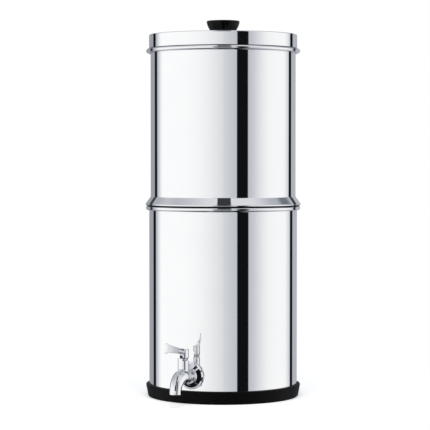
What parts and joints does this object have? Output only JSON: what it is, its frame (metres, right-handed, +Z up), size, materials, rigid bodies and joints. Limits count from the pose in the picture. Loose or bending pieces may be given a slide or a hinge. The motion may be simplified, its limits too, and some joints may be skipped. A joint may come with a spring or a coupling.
{
  "type": "gravity water filter with tap",
  "caption": "Stacked steel chambers with a knobbed lid, a rubber base ring and a lever tap: water seeps through filter elements from the upper into the lower chamber.",
  "frame": {"origin": "middle of the base ring's underside, on the surface that the filter stands on", "axes": "+Z up along the chambers' common axis; the tap points along -Y; +X is on the right of someone who faces the tap"},
  "size_m": [0.227, 0.3025, 0.5489],
  "materials": {
    "steel": "mirror-polished stainless sheet",
    "chrome": "polished",
    "knob_black": "glossy",
    "base_rubber": "matte, fine grain",
    "seal_rubber": "matte",
    "carbon": "matte pressed carbon",
    "cap_black": "moulded, satin",
    "white_plastic": "moulded, satin",
    "brass": "machined"
  },
  "bodies": {
    "lower": {"base_ring": "base_rubber", "lower_chamber": "steel", "tap_body": "chrome", "tap_flange": "chrome", "outer_washer": "seal_rubber", "inner_washer": "seal_rubber", "shank_nut": "brass", "valve_sleeve": "white_plastic", "glide_washer": "white_plastic", "gland_nut": "brass"},
    "handle": {"tap_handle": "chrome", "handle_screw": "chrome", "handle_cap": "chrome", "valve_plug": "brass", "plug_seals": "seal_rubber"},
    "upper": {"upper_chamber": "steel", "carbon_block_left": "carbon", "top_cap_left": "cap_black", "base_cap_left": "cap_black", "stem_washer_left": "seal_rubber", "wing_nut_left": "white_plastic", "carbon_block_right": "carbon", "top_cap_right": "cap_black", "base_cap_right": "cap_black", "stem_washer_right": "seal_rubber", "wing_nut_right": "white_plastic"},
    "lid": {"lid": "steel", "lid_knob": "knob_black", "knob_screw": "chrome", "knob_washer": "seal_rubber"}
  },
  "joints": [
    {"name": "upper_lift", "type": "slide", "parent": "lower", "child": "upper", "axis": [0, 0, 1], "range_m": [0, 0.3]},
    {"name": "lid_lift", "type": "slide", "parent": "upper", "child": "lid", "axis": [0, 0, 1], "range_m": [0, 0.15]},
    {"name": "tap_turn", "type": "hinge", "parent": "lower", "child": "handle", "pos_m": [0, -0.1342, 0.0725], "axis": [0, 0, 1], "range_deg": [0, 90]}
  ]
}
